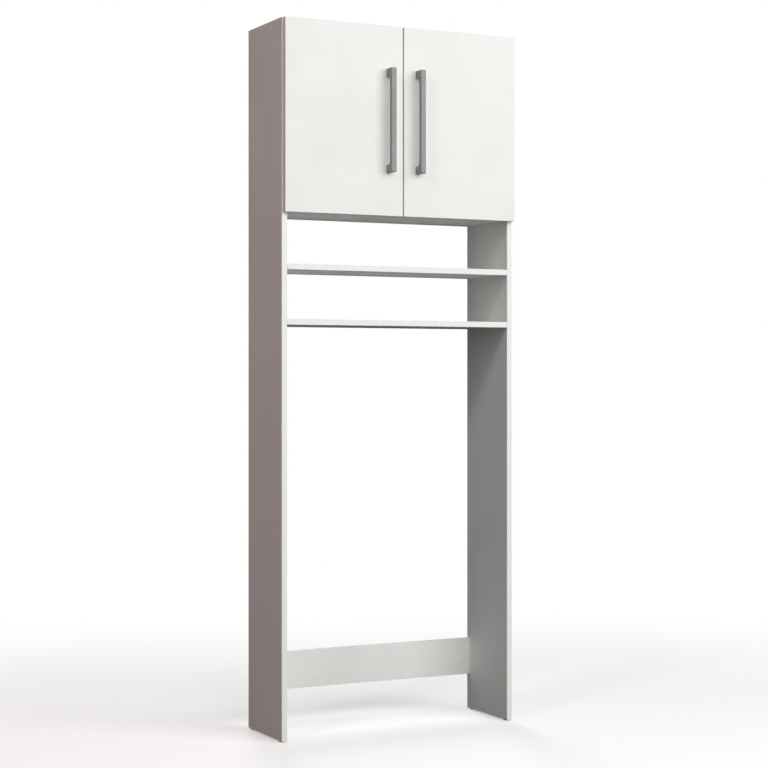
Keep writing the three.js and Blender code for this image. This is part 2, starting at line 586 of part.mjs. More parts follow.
// What each side carries: its panel with feet, fittings and pins, and its door with handle and hinges
for (const [word, side] of Object.entries(SIDES)) {
  addPiece(`${word}_side_panel`, sidePanel(side), WHITE_BOARD);
  for (const [place, y] of [['front', GLIDE_INSET], ['rear', DEPTH - GLIDE_INSET]]) {
    addPiece(`${word}_foot_glide_${place}`, footGlide(side, y), GREY_PLASTIC);
  }
  const bolted = {
    floor: FLOOR_UNDERSIDE,
    upper_shelf: UPPER_SHELF_UNDERSIDE,
    lower_shelf: LOWER_SHELF_UNDERSIDE,
  };
  for (const [carried, underside] of Object.entries(bolted)) {
    for (const [place, y] of [['front', CAM_INSET], ['rear', DEPTH - CAM_INSET]]) {
      addPiece(`${carried}_cam_${word}_${place}`, camFitting(side, y, underside), ZINC);
    }
  }
  PIN_DEPTHS.forEach((y, index) => {
    addPiece(`${word}_shelf_pin_${['front', 'rear'][index]}`, shelfPin(side, y), NICKEL_STEEL);
  });
  addPiece(`${word}_wall_bracket`, wallBracket(side), NICKEL_STEEL);

  addPiece(`${word}_door`, door(side), WHITE_BOARD);
  addPiece(`${word}_door_handle`, handle(side), SATIN_GREY);
  HANDLE_HOLE_HEIGHTS.forEach((z, index) => {
    addPiece(`${word}_handle_screw_${['lower', 'upper'][index]}`, handleScrew(side, z), ZINC);
  });
  HINGE_HEIGHTS.forEach((z, index) => {
    const hinge = `${word}_${['lower', 'upper'][index]}_hinge`;
    addPiece(`${hinge}_cup`, hingeCup(side, z), NICKEL_STEEL);
    addPiece(`${hinge}_outer_link`, outerLink(side, z), NICKEL_STEEL);
    addPiece(`${hinge}_inner_link`, innerLink(side, z), NICKEL_STEEL);
    addPiece(`${hinge}_arm`, hingeArm(side, z), NICKEL_STEEL);
    addPiece(`${hinge}_plate`, hingePlate(side, z), ZINC);
  });
}

export default cabinet;
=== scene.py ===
"""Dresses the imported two-door cabinet: finishes, small fittings, light and camera.

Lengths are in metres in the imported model's own frame, with X to the right, Y from the front to the
wall and Z up from the floor. Sizes of fittings are written in millimetres and multiplied by MM.
"""

import logging
import math
from dataclasses import asdict, dataclass, fields
from enum import Enum
from typing import Iterable, Optional, Sequence, Union

import bmesh
import bpy
from mathutils import Matrix, Vector


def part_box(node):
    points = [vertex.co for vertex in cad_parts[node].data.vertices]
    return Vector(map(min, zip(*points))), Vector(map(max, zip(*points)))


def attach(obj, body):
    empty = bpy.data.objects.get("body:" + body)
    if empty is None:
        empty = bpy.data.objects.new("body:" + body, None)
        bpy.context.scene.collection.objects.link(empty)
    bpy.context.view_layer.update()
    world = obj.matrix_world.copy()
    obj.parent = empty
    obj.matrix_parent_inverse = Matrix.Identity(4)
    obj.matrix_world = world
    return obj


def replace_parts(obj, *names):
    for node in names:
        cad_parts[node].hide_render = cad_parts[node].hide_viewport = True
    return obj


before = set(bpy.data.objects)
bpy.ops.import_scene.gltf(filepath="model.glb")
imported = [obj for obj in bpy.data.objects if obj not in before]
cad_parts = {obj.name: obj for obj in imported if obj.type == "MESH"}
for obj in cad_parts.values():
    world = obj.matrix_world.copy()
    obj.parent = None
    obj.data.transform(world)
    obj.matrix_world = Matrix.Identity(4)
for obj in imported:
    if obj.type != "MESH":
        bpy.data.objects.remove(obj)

LOG = logging.getLogger("cabinet")
MM = 0.001
CABINET_BODY = "cabinet"

Triple = tuple[float, float, float]
Colour = Triple
Profile = Sequence[tuple[float, float]]
Sockets = Optional[dict[str, object]]


# Names and places


class Way(Enum):
    """The six ways along the axes, as an axis and a sign, which also name the faces of a board."""

    LEFT = (0, -1)
    RIGHT = (0, 1)
    FRONT = (1, -1)
    REAR = (1, 1)
    DOWN = (2, -1)
    UP = (2, 1)

    @property
    def vector(self) -> Vector:
        """A step of one, this way."""
        axis, sign = self.value
        return Vector([sign if one == axis else 0 for one in range(3)])


class Side(Enum):
    """The two mirrored halves of the cabinet, each with the sign of X on it."""

    LEFT = -1
    RIGHT = 1

    @property
    def word(self) -> str:
        """The word that the names of this half's pieces start with."""
        return self.name.lower()

    @property
    def leaf(self) -> str:
        """The body that swings with this half's door."""
        return f"{self.word}_leaf"

    @property
    def outward(self) -> Way:
        """The way from the cabinet's middle to this half."""
        return Way[self.name]

    @property
    def inward(self) -> Way:
        """The way from this half to the cabinet's middle."""
        return Way.LEFT if self is Side.RIGHT else Way.RIGHT


class Slot(Enum):
    """The record's material slots; the hinge pieces list the slot of each, but no piece takes its finish
    from one.
    """

    BOARD = "white_board"
    HANDLE = "satin_grey_metal"
    STEEL = "nickel_steel"
    ZINC = "zinc_alloy"
    PLASTIC = "grey_plastic"


@dataclass(frozen=True)
class Spot:
    """Where one copy of a form stands, and the way that it faces."""

    place: Vector
    way: Way


class Box:
    """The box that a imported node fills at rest."""

    def __init__(self, node: str) -> None:
        """Looks the node's box up."""
        self.low, self.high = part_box(node)
        self.middle = (self.low + self.high) / 2

    def end(self, way: Way) -> float:
        """Where the box ends, this way."""
        axis, sign = way.value
        return (self.high if sign > 0 else self.low)[axis]

    def span(self, way: Way) -> float:
        """How long the box is on this way's axis."""
        axis, _ = way.value
        return self.high[axis] - self.low[axis]

    def inset(self, way: Way, distance: float) -> tuple[float, float]:
        """The two places on this way's axis that lie a distance inside the box's ends."""
        axis, _ = way.value
        return self.low[axis] + distance, self.high[axis] - distance


# Node trees


class Signal:
    """A number that changes over a surface: a node's output socket with Python's arithmetic on it."""

    def __init__(self, bench: "Bench", socket: bpy.types.NodeSocket) -> None:
        """Wraps an output socket of the bench's tree."""
        self.bench = bench
        self.socket = socket

    def __add__(self, other: "Number") -> "Signal":
        """The sum."""
        return self.bench.maths("ADD", self, other)

    __radd__ = __add__

    def __sub__(self, other: "Number") -> "Signal":
        """The difference."""
        return self.bench.maths("SUBTRACT", self, other)

    def __rsub__(self, other: "Number") -> "Signal":
        """The difference, with the plain number first."""
        return self.bench.maths("SUBTRACT", other, self)

    def __mul__(self, other: "Number") -> "Signal":
        """The product."""
        return self.bench.maths("MULTIPLY", self, other)

    __rmul__ = __mul__

    def __rtruediv__(self, other: "Number") -> "Signal":
        """The quotient, with the plain number first."""
        return self.bench.maths("DIVIDE", other, self)

    def __pow__(self, other: "Number") -> "Signal":
        """The power."""
        return self.bench.maths("POWER", self, other)

    def __abs__(self) -> "Signal":
        """The number without its sign."""
        return self.bench.maths("ABSOLUTE", self)

    def above(self, edge: "Number") -> "Signal":
        """One where the number is over the edge, and zero elsewhere."""
        return self.bench.maths("GREATER_THAN", self, edge)

    def lesser(self, other: "Number") -> "Signal":
        """The lesser of two numbers."""
        return self.bench.maths("MINIMUM", self, other)

    def greater(self, other: "Number") -> "Signal":
        """The greater of two numbers."""
        return self.bench.maths("MAXIMUM", self, other)

    def rising(self, start: float, end: float) -> "Signal":
        """Steps smoothly from zero to one.

        Args:
            start: The number up to which the step is zero.
            end: The number from which it is one.

        Returns:
            The step.
        """
        limits = {"Value": self, "From Min": start, "From Max": end, "To Min": 0.0, "To Max": 1.0}
        return self.bench.signal(
            "ShaderNodeMapRange", "Result", limits, interpolation_type="SMOOTHSTEP", clamp=True)


Number = Union[Signal, float]


class Bench:
    """Adds nodes and links to one node tree, of a material, a world or Geometry Nodes."""

    def __init__(self, tree: bpy.types.NodeTree) -> None:
        """Starts on a tree and clears it."""
        self.tree = tree
        tree.nodes.clear()

    def node(self, kind: str, sockets: Sockets = None, **settings: object) -> bpy.types.Node:
        """Adds one node.

        Args:
            kind: The node's type name.
            sockets: Values, sockets or signals for its inputs, by the inputs' identifiers.
            **settings: What is set on the node itself, first.

        Returns:
            The new node.
        """
        made = self.tree.nodes.new(kind)
        for name, value in settings.items():
            setattr(made, name, value)
        for name, value in (sockets or {}).items():
            socket = next(one for one in made.inputs if one.identifier == name)
            for each in value if isinstance(value, list) else [value]:
                self.feed(socket, each)
        return made

    def feed(self, socket: bpy.types.NodeSocket, value: object) -> None:
        """Links a socket or signal to an input, or sets a plain value on it.

        Args:
            socket: The input.
            value: The socket, the signal or the plain value.
        """
        if isinstance(value, Signal):
            value = value.socket
        if isinstance(value, bpy.types.NodeSocket):
            self.tree.links.new(value, socket)
        elif socket.type == "RGBA":
            socket.default_value = (*value, 1.0)
        else:
            socket.default_value = value

    def output(self, node: bpy.types.Node, identifier: str) -> bpy.types.NodeSocket:
        """The output socket of a node that has this identifier."""
        return next(one for one in node.outputs if one.identifier == identifier)

    def first(self, kind: str, sockets: Sockets = None, **settings: object) -> bpy.types.NodeSocket:
        """Adds one node and gives its first output."""
        return self.node(kind, sockets, **settings).outputs[0]

    def signal(self, kind: str, output: str, sockets: Sockets = None, **settings: object) -> Signal:
        """Adds one node and wraps one of its outputs as a number."""
        return Signal(self, self.output(self.node(kind, sockets, **settings), output))

    def maths(self, operation: str, first: Number, second: Number = 0.0) -> Signal:
        """Adds a Math node on one or two numbers."""
        sockets = {"Value": first, "Value_001": second}
        return self.signal("ShaderNodeMath", "Value", sockets, operation=operation)

    def vector(self, x: Number, y: Number, z: Number) -> bpy.types.NodeSocket:
        """Joins three numbers as a vector."""
        return self.first("ShaderNodeCombineXYZ", {"X": x, "Y": y, "Z": z})

    def parts(self, vector: bpy.types.NodeSocket) -> list[Signal]:
        """Splits a vector into its three numbers."""
        split = self.node("ShaderNodeSeparateXYZ", {"Vector": vector})
        return [Signal(self, socket) for socket in split.outputs]


# Finishes


CLOUD_SHARES = (0.35, 0.65)
FIBRE_SHARES = (0.32, 0.68)
SMEAR_SHARES = (0.3, 0.7)
TOUCH_SHARES = (0.45, 0.7)


@dataclass(frozen=True)
class Pattern:
    """A soft random pattern: its spots in a metre, how finely they break up, and their stretch."""

    per_metre: float
    layers: float
    stretch: Triple = (1.0, 1.0, 1.0)
    fineness: float = 0.55


@dataclass(frozen=True)
class Relief:
    """How a pattern stands out: how far one is above zero, and how much of that shows."""

    depth: float
    strength: float


class Recipe(Bench):
    """Builds one material from patterns on Object coordinates."""

    def __init__(self, name: str) -> None:
        """Starts a material.

        Args:
            name: The material's name.
        """
        self.material = bpy.data.materials.new(name)
        self.material.use_nodes = True
        super().__init__(self.material.node_tree)
        self.place = self.output(self.node("ShaderNodeTexCoord"), "Object")

    def noise(self, pattern: Pattern) -> Signal:
        """Draws a soft random pattern.

        Args:
            pattern: How it looks.

        Returns:
            The pattern, from zero to one, about a half.
        """
        sockets = {
            "Vector": self.first("ShaderNodeMapping", {"Vector": self.place, "Scale": pattern.stretch}),
            "Scale": pattern.per_metre,
            "Detail": pattern.layers,
            "Roughness": pattern.fineness,
        }
        return self.signal("ShaderNodeTexNoise", "Fac", sockets, noise_dimensions="3D")

    def blend(self, share: Number, first: object, second: object) -> bpy.types.NodeSocket:
        """Mixes two colours or colour sockets, by a share of the second one."""
        sockets = {"Factor_Float": share, "A_Color": first, "B_Color": second}
        return self.output(self.node("ShaderNodeMix", sockets, data_type="RGBA"), "Result_Color")

    def relief(
        self, height: Signal, relief: Relief, under: Optional[bpy.types.NodeSocket] = None
    ) -> bpy.types.NodeSocket:
        """Turns a pattern into relief.

        Args:
            height: The pattern, from zero to one.
            relief: How the pattern stands out.
            under: The relief that this one lies on.

        Returns:
            The normal's socket.
        """
        sockets = {"Height": height, "Distance": relief.depth, "Strength": relief.strength}
        if under is not None:
            sockets["Normal"] = under
        return self.first("ShaderNodeBump", sockets)

    def finished(self, **sockets: object) -> bpy.types.Material:
        """Closes the recipe with a Principled shader.

        Args:
            **sockets: The shader's inputs, with an underscore for each space in a name.

        Returns:
            The material.
        """
        named = {name.replace("_", " "): value for name, value in sockets.items()}
        shader = self.first("ShaderNodeBsdfPrincipled", named)
        self.node("ShaderNodeOutputMaterial", {"Surface": shader})
        return self.material


@dataclass(frozen=True)
class CoatedChipboard:
    """White melamine on chipboard: pearl-grained faces, plastic edge bands, raw chips where it is cut."""

    coat: Colour = (0.835, 0.832, 0.822)
    coat_shade: Colour = (0.800, 0.797, 0.786)
    band: Colour = (0.850, 0.848, 0.840)
    glue_line: Colour = (0.560, 0.540, 0.500)
    chip_light: Colour = (0.520, 0.355, 0.205)
    chip_dark: Colour = (0.205, 0.120, 0.060)
    coat_depth: float = 0.35 * MM
    band_depth: float = 0.75 * MM
    line_width: float = 0.12 * MM
    line_share: float = 0.55
    clouds: Pattern = Pattern(5.0, 3.0)
    waves: Pattern = Pattern(70.0, 2.0)
    grain: Pattern = Pattern(1250.0, 3.0)
    smears: Pattern = Pattern(14.0, 4.0, (1.0, 1.0, 0.45))
    fibres: Pattern = Pattern(1600.0, 3.0)
    chips_per_metre: float = 380.0
    chip_share: float = 0.7
    roughness: float = 0.46
    smear_roughness: float = 0.08
    grain_roughness: float = 0.05
    raw_roughness: float = 0.86
    reflection: float = 0.2
    wave_relief: Relief = Relief(0.05 * MM, 0.25)
    grain_relief: Relief = Relief(0.03 * MM, 0.35)
    chip_relief: Relief = Relief(0.35 * MM, 0.6)

    def material(self, name: str, box: Box, banded: Iterable[Way]) -> bpy.types.Material:
        """Makes the finish of one board.

        Args:
            name: The material's name.
            box: The board's box.
            banded: The narrow faces that carry a band; the others are raw.

        Returns:
            The material.
        """
        recipe = Recipe(name)
        place = recipe.parts(recipe.place)
        low, high = box.low, box.high
        flat = min(range(3), key=lambda axis: high[axis] - low[axis])
        depth = (place[flat] - low[flat]).lesser(high[flat] - place[flat])
        soft = self.line_width / 2
        core = depth.rising(self.coat_depth, self.coat_depth + soft)
        line: Number = 0.0
        rim: Number = 0.0
        for way in banded:
            axis, sign = way.value
            away = high[axis] - place[axis] if sign > 0 else place[axis] - low[axis]
            past = away.rising(self.band_depth, self.band_depth + soft)
            core = core * past
            rim = (1.0 - past).greater(rim)
            near = 1.0 - abs(away - self.band_depth).rising(soft, self.line_width)
            line = near.greater(line)

        grain = recipe.noise(self.grain)
        fibre = recipe.noise(self.fibres)
        smear = recipe.noise(self.smears).rising(*SMEAR_SHARES)
        cells = {"Vector": recipe.place, "Scale": self.chips_per_metre}
        chips = recipe.node("ShaderNodeTexVoronoi", cells, feature="F1")
        tone = recipe.parts(recipe.output(chips, "Color"))[0]

        coat = recipe.blend(recipe.noise(self.clouds).rising(*CLOUD_SHARES), self.coat, self.coat_shade)
        coat = recipe.blend(rim, coat, self.band)
        coat = recipe.blend(line * self.line_share, coat, self.glue_line)
        chip = tone * self.chip_share + fibre * (1.0 - self.chip_share)
        colour = recipe.blend(core, coat, recipe.blend(chip, self.chip_dark, self.chip_light))
        smooth = self.roughness + smear * self.smear_roughness + grain * self.grain_roughness
        roughness = smooth * (1.0 - core) + core * self.raw_roughness
        waves = recipe.relief(recipe.noise(self.waves), self.wave_relief)
        pearl = recipe.relief(grain, self.grain_relief, waves)
        normal = recipe.relief(tone * core, self.chip_relief, pearl)
        return recipe.finished(
            Base_Color=colour, Roughness=roughness, Specular_IOR_Level=self.reflection, Normal=normal)


@dataclass(frozen=True)
class PaintedHardboard:
    """Thin hardboard, painted white on its front and bare brown fibre on its back."""

    paint: Colour = (0.805, 0.803, 0.795)
    paint_shade: Colour = (0.765, 0.762, 0.752)
    fibre_light: Colour = (0.335, 0.205, 0.110)
    fibre_dark: Colour = (0.200, 0.112, 0.055)
    paint_depth: float = 0.4 * MM
    paint_fade: float = 0.2 * MM
    clouds: Pattern = Pattern(6.0, 3.0)
    fibres: Pattern = Pattern(420.0, 5.0, (1.0, 1.0, 2.4))
    roller_marks: Pattern = Pattern(90.0, 2.0, (0.2, 1.0, 1.0))
    mesh_per_metre: float = 900.0
    roughness: float = 0.5
    roller_roughness: float = 0.08
    bare_roughness: float = 0.25
    fibre_relief: Relief = Relief(0.12 * MM, 0.45)
    mesh_relief: Relief = Relief(0.12 * MM, 0.5)

    def material(self, name: str, front: float) -> bpy.types.Material:
        """Makes the finish.

        Args:
            name: The material's name.
            front: Where the painted face lies in Y.

        Returns:
            The material.
        """
        recipe = Recipe(name)
        x, y, z = recipe.parts(recipe.place)
        bare = (y - front).rising(self.paint_depth, self.paint_depth + self.paint_fade)
        across, along = (recipe.maths("SINE", one * (self.mesh_per_metre * math.pi)) for one in (x, z))
        fibre = recipe.noise(self.fibres)
        paint = recipe.blend(recipe.noise(self.clouds).rising(*CLOUD_SHARES), self.paint, self.paint_shade)
        brown = recipe.blend(fibre.rising(*FIBRE_SHARES), self.fibre_dark, self.fibre_light)
        marks = recipe.noise(self.roller_marks) * self.roller_roughness
        pressed = recipe.relief(fibre, self.fibre_relief)
        return recipe.finished(
            Base_Color=recipe.blend(bare, paint, brown),
            Roughness=self.roughness + marks + bare * self.bare_roughness,
            Normal=recipe.relief(across * along * bare, self.mesh_relief, pressed),
        )


@dataclass(frozen=True)
class Metal:
    """A metal finish: drawn lines along one axis, or a cast or plated skin without them."""

    light: Colour
    dark: Colour
    metallic: float
    roughness: float
    spread: float
    skin: Pattern = Pattern(900.0, 3.0)
    clouds: Pattern = Pattern(40.0, 3.0)
    touches: Pattern = Pattern(11.0, 4.0)
    skin_share: float = 0.6
    touch_roughness: float = 0.05
    relief: Relief = Relief(0.02 * MM, 0.5)

    def material(self, name: str) -> bpy.types.Material:
        """Makes the finish.

        Args:
            name: The material's name.

        Returns:
            The material.
        """
        recipe = Recipe(name)
        skin = recipe.noise(self.skin)
        tone = skin * self.skin_share + recipe.noise(self.clouds) * (1.0 - self.skin_share)
        touch = recipe.noise(self.touches).rising(*TOUCH_SHARES)
        return recipe.finished(
            Base_Color=recipe.blend(tone.rising(*SMEAR_SHARES), self.dark, self.light),
            Metallic=self.metallic,
            Roughness=self.roughness + (skin - 0.5) * self.spread + touch * self.touch_roughness,
            Normal=recipe.relief(skin, self.relief),
        )


@dataclass(frozen=True)
class MouldedPlastic:
    """Moulded plastic with a fine sparked skin."""

    light: Colour
    dark: Colour
    roughness: float = 0.48
    spread: float = 0.1
    skin: Pattern = Pattern(1800.0, 3.0)
    clouds: Pattern = Pattern(60.0, 2.0)
    relief: Relief = Relief(0.03 * MM, 0.5)

    def material(self, name: str) -> bpy.types.Material:
        """Makes the finish.

        Args:
            name: The material's name.

        Returns:
            The material.
        """
        recipe = Recipe(name)
        skin = recipe.noise(self.skin)
        cloud = recipe.noise(self.clouds).rising(*CLOUD_SHARES)
        return recipe.finished(
            Base_Color=recipe.blend(cloud, self.dark, self.light),
            Roughness=self.roughness + skin * self.spread,
            Normal=recipe.relief(skin, self.relief),
        )


SATIN_HANDLE = Metal(
    light=(0.275, 0.280, 0.275), dark=(0.225, 0.230, 0.225), metallic=0.25, roughness=0.56, spread=0.12,
    skin=Pattern(2600.0, 3.0, (1.0, 1.0, 0.03)), relief=Relief(0.03 * MM, 0.5))
NICKEL_PLATE = Metal(
    light=(0.700, 0.685, 0.655), dark=(0.560, 0.545, 0.515), metallic=1.0, roughness=0.24, spread=0.12)
CAST_ZINC = Metal(
    light=(0.560, 0.565, 0.570), dark=(0.420, 0.425, 0.430), metallic=0.9, roughness=0.42, spread=0.2,
    skin=Pattern(1500.0, 3.0), relief=Relief(0.06 * MM, 0.5))
CHROME_SCREW = Metal(
    light=(0.640, 0.640, 0.630), dark=(0.500, 0.500, 0.490), metallic=1.0, roughness=0.30, spread=0.14)
GREY_GLIDE = MouldedPlastic(light=(0.60, 0.60, 0.58), dark=(0.54, 0.54, 0.52))
WHITE_CAP = MouldedPlastic(light=(0.83, 0.83, 0.82), dark=(0.79, 0.79, 0.78), roughness=0.4)
CLEAR_RUBBER = MouldedPlastic(light=(0.70, 0.70, 0.66), dark=(0.62, 0.62, 0.58), roughness=0.3)


# Small forms that repeat


@dataclass(frozen=True)
class Button:
    """The sizes of a round button; a squareness of 2 gives a dome, and more a flatter top."""

    radius: float
    height: float
    squareness: float


@dataclass(frozen=True)
class Screw:
    """The sizes of a screw with a domed head, and the seed of the chance that turns its recess."""

    head_radius: float
    head_height: float
    shank_length: float
    seed: int
    shank_radius: float = 2 * MM
    recess_length: float = 4.2 * MM
    recess_width: float = 0.9 * MM
    recess_depth: float = 1.3 * MM
    squareness: float = 2.6


FLAT_HEAD_SQUARENESS = 2.8
HEAD_RADIUS_SHARES = {"shank_radius": 0.45, "recess_length": 1.1, "recess_width": 0.26}
HEAD_HEIGHT_SHARE = 0.6


def hinge_screw(radius: float, height: float, length: float, seed: int) -> Screw:
    """Works out a flatter screw whose shank and recess follow its head.

    Args:
        radius: The head's radius.
        height: The head's height.
        length: The shank's length.
        seed: What the chance of each recess's turn starts from.

    Returns:
        The screw's sizes.
    """
    sizes = {size: radius * share for size, share in HEAD_RADIUS_SHARES.items()}
    sizes["recess_depth"] = height * HEAD_HEIGHT_SHARE
    return Screw(radius, height, length, seed, squareness=FLAT_HEAD_SQUARENESS, **sizes)


class ShapeTree(Bench):
    """A Geometry Nodes tree whose named inputs are the sizes of one kind of form."""

    facing = "facing"
    ball_sides = 28
    ball_rings = 20
    crease_angle = math.radians(38)

    def __init__(self, name: str, kind: type) -> None:
        """Starts a tree.

        Args:
            name: The tree's name.
            kind: The dataclass whose fields are the form's sizes.
        """
        super().__init__(bpy.data.node_groups.new(name, "GeometryNodeTree"))
        kinds = {one.name: "NodeSocketInt" if one.type is int else "NodeSocketFloat" for one in fields(kind)}
        kinds["finish"] = "NodeSocketMaterial"
        face = self.tree.interface
        geometry = "NodeSocketGeometry"
        self.result = face.new_socket(name="Geometry", in_out="OUTPUT", socket_type=geometry).identifier
        face.new_socket(name="Places", in_out="INPUT", socket_type=geometry)
        self.identifiers = {
            word: face.new_socket(name=word, in_out="INPUT", socket_type=socket).identifier
            for word, socket in kinds.items()
        }
        entry = self.node("NodeGroupInput")
        self.places = entry.outputs[0]
        self.sizes = {
            word: Signal(self, self.output(entry, identifier))
            for word, identifier in self.identifiers.items()
        }

    def button(self, radius: Number, height: Number, squareness: Number) -> bpy.types.NodeSocket:
        """Shapes a closed round button that stands on its flat underside.

        Args:
            radius: The button's radius.
            height: How far it stands up.
            squareness: The power of its side view.

        Returns:
            The mesh's socket.
        """
        sockets = {"Segments": self.ball_sides, "Rings": self.ball_rings, "Radius": 1.0}
        ball = self.first("GeometryNodeMeshUVSphere", sockets)
        x, y, z = self.parts(self.first("GeometryNodeInputPosition"))
        share = (x * x + y * y) ** (squareness * 0.5)
        rise = (1.0 - share.lesser(1.0)) ** (1.0 / squareness)
        shaped = self.vector(x * radius, y * radius, rise * z.above(0.0) * height)
        return self.first("GeometryNodeSetPosition", {"Geometry": ball, "Position": shaped})

    def raised(self, shape: bpy.types.NodeSocket, height: Number) -> bpy.types.NodeSocket:
        """Moves a mesh up, or down where the height is below zero."""
        step = self.vector(0.0, 0.0, height)
        return self.first("GeometryNodeTransform", {"Geometry": shape, "Translation": step})

    def spread(self, shape: bpy.types.NodeSocket, turned: bool) -> None:
        """Puts one copy of a shape at each place, realizes the copies and sets their material.

        Args:
            shape: The mesh to copy, drawn standing on the XY plane.
            turned: Whether each copy is also turned about its own axis by a seeded chance.
        """
        named = {"Name": self.facing}
        facing = self.first("GeometryNodeInputNamedAttribute", named, data_type="FLOAT_VECTOR")
        rotation = self.first("FunctionNodeAlignRotationToVector", {"Vector": facing}, axis="Z")
        if turned:
            limits = {"Min_001": 0.0, "Max_001": math.tau, "Seed": self.sizes["seed"]}
            chance = self.signal("FunctionNodeRandomValue", "Value_001", limits, data_type="FLOAT")
            sockets = {"Axis": Way.UP.vector, "Angle": chance}
            turn = self.first("FunctionNodeAxisAngleToRotation", sockets)
            sockets = {"Rotation": rotation, "Rotate By": turn}
            rotation = self.first("FunctionNodeRotateRotation", sockets, rotation_space="LOCAL")
        sockets = {"Points": self.places, "Instance": shape, "Rotation": rotation}
        copies = self.first("GeometryNodeInstanceOnPoints", sockets)
        real = self.first("GeometryNodeRealizeInstances", {"Geometry": copies})
        soft = self.first("GeometryNodeSetShadeSmooth", {"Geometry": real}, domain="FACE")
        bend = self.signal("GeometryNodeInputMeshEdgeAngle", "Unsigned Angle")
        sockets = {"Geometry": soft, "Selection": bend.above(self.crease_angle), "Shade Smooth": False}
        crease = self.first("GeometryNodeSetShadeSmooth", sockets, domain="EDGE")
        sockets = {"Geometry": crease, "Material": self.sizes["finish"]}
        dressed = self.first("GeometryNodeSetMaterial", sockets)
        self.node("NodeGroupOutput", {self.result: dressed})


class ButtonTree(ShapeTree):
    """Round buttons: cover caps, bumpers and glides."""

    def __init__(self) -> None:
        """Builds the tree."""
        super().__init__("round_buttons", Button)
        sizes = self.sizes
        self.spread(self.button(sizes["radius"], sizes["height"], sizes["squareness"]), turned=False)


class ScrewTree(ShapeTree):
    """Screws with a domed head, a cross recess and a shank."""

    shank_sides = 16

    def __init__(self) -> None:
        """Builds the tree."""
        super().__init__("cross_head_screws", Screw)
        sizes = self.sizes
        top = sizes["head_height"]
        head = self.button(sizes["head_radius"], top, sizes["squareness"])
        deep = sizes["recess_depth"] * 2.0
        bars = []
        for across, along in (("recess_length", "recess_width"), ("recess_width", "recess_length")):
            size = self.vector(sizes[across], sizes[along], deep)
            bars.append(self.raised(self.first("GeometryNodeMeshCube", {"Size": size}), top))
        sockets = {"Mesh 1": head, "Mesh 2": bars}
        cut = self.first("GeometryNodeMeshBoolean", sockets, operation="DIFFERENCE")
        length = sizes["shank_length"]
        sockets = {"Vertices": self.shank_sides, "Radius": sizes["shank_radius"], "Depth": length}
        shank = self.raised(self.first("GeometryNodeMeshCylinder", sockets), length * -0.5)
        self.spread(self.first("GeometryNodeJoinGeometry", {"Geometry": [cut, shank]}), turned=True)


# Making and reporting pieces


def placed(name: str, data: bpy.types.ID) -> bpy.types.Object:
    """Adds a mesh, a lamp or a camera to the scene, at the origin.

    Args:
        name: The object's name.
        data: What the object shows.

    Returns:
        The object.
    """
    made = bpy.data.objects.new(name, data)
    bpy.context.scene.collection.objects.link(made)
    return made


def report(piece: bpy.types.Object, body: str) -> bpy.types.Object:
    """Makes a piece ride on a body and logs it.

    Args:
        piece: The finished piece.
        body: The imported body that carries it.

    Returns:
        The piece.
    """
    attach(piece, body)
    LOG.info("%s rides on %s with %d faces", piece.name, body, len(piece.data.polygons))
    return piece


def dress(node: str, finish: bpy.types.Material) -> None:
    """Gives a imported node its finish.

    Args:
        node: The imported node's name.
        finish: The material.
    """
    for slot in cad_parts[node].material_slots:
        slot.material = finish
    LOG.info("%s is dressed in %s", node, finish.name)


